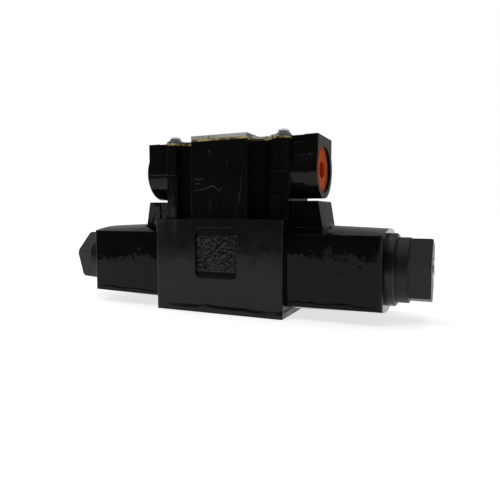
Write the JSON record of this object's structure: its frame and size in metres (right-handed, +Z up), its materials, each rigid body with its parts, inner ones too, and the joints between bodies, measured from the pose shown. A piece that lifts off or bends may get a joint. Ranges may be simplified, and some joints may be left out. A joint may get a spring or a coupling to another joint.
{
  "type": "solenoid directional valve",
  "caption": "Double-solenoid spool valve with a cast block body, wet-armature coils, hex lock nuts and a central terminal box with conduit hubs.",
  "frame": {"origin": "middle of the mounting face, on the plane of the spool axis", "axes": "+X along the spool axis towards solenoid b, +Y across the body, +Z up, away from the mounting face"},
  "size_m": [0.1874, 0.048, 0.085],
  "materials": {
    "black_paint": "glossy enamel",
    "coil_black": "glossy enamel",
    "nut_plastic": "matte",
    "steel": "machined",
    "ground_steel": "ground",
    "zinc": "zinc plated",
    "spring_steel": "drawn wire",
    "brass": "turned",
    "copper_winding": "enamelled copper wire",
    "rubber": "matte",
    "gasket_yellow": "satin",
    "clear_plastic": "clear, slightly yellowed",
    "orange_plastic": "satin",
    "grey_plastic": "moulded",
    "cream_plastic": "moulded",
    "board_green": "solder mask",
    "lamp_red": "tinted"
  },
  "bodies": {
    "housing": {"valve_body": "black_paint", "port_seals": "rubber", "centring_spring_a": "spring_steel", "centring_spring_b": "spring_steel", "pole_piece_a": "steel", "pole_piece_b": "steel", "tube_ring_a": "brass", "tube_ring_b": "brass", "guide_tube_a": "steel", "guide_tube_b": "steel", "tube_plug_a": "zinc", "tube_plug_b": "zinc", "pin_seal_a": "rubber", "pin_seal_b": "rubber", "tube_seal_a": "rubber", "tube_seal_b": "rubber", "coil_housing_a": "coil_black", "coil_housing_b": "coil_black", "coil_bobbin_a": "cream_plastic", "coil_bobbin_b": "cream_plastic", "coil_winding_a": "copper_winding", "coil_winding_b": "copper_winding", "coil_end_ring_a": "coil_black", "coil_end_ring_b": "coil_black", "coil_seal_a": "rubber", "coil_seal_b": "rubber", "nut_seal_a": "rubber", "nut_seal_b": "rubber", "lock_nut_a": "nut_plastic", "lock_nut_b": "nut_plastic", "contact_blades_a": "brass", "contact_blades_b": "brass", "connector_seal_a": "rubber", "connector_seal_b": "rubber", "terminal_box": "black_paint", "box_gasket": "rubber", "lid_gasket": "gasket_yellow", "lid": "clear_plastic", "lock_washers": "zinc", "lid_screws": "zinc", "box_screws": "zinc", "earth_screw": "brass", "terminal_block": "grey_plastic", "terminal_screws": "zinc", "lamp_board": "board_green", "indicator_lamps": "lamp_red", "conduit_plug_a": "orange_plastic", "conduit_plug_b": "orange_plastic"},
    "spool": {"spool": "ground_steel", "spring_seat_a": "steel", "spring_seat_b": "steel"},
    "armature_a": {"armature_a": "steel", "push_pin_a": "ground_steel"},
    "armature_b": {"armature_b": "steel", "push_pin_b": "ground_steel"},
    "override_pin_a": {"override_pin_a": "brass"},
    "override_pin_b": {"override_pin_b": "brass"}
  },
  "joints": [
    {"name": "spool_slide", "type": "slide", "parent": "housing", "child": "spool", "axis": [1, 0, 0], "range_m": [-0.003, 0.003], "stiffness_N_per_m": 4000, "deforming": ["centring_spring_a", "centring_spring_b"]},
    {"name": "armature_a_slide", "type": "slide", "parent": "housing", "child": "armature_a", "axis": [1, 0, 0], "range_m": [-0.003, 0.003]},
    {"name": "armature_b_slide", "type": "slide", "parent": "housing", "child": "armature_b", "axis": [1, 0, 0], "range_m": [-0.003, 0.003]},
    {"name": "override_a_push", "type": "slide", "parent": "housing", "child": "override_pin_a", "axis": [1, 0, 0], "range_m": [0, 0.0025], "stiffness_N_per_m": 1500},
    {"name": "override_b_push", "type": "slide", "parent": "housing", "child": "override_pin_b", "axis": [-1, 0, 0], "range_m": [0, 0.0025], "stiffness_N_per_m": 1500}
  ],
  "couplings": [
    {"joint": "armature_a_slide", "follows": "spool_slide", "ratio": 1},
    {"joint": "armature_b_slide", "follows": "spool_slide", "ratio": 1}
  ]
}
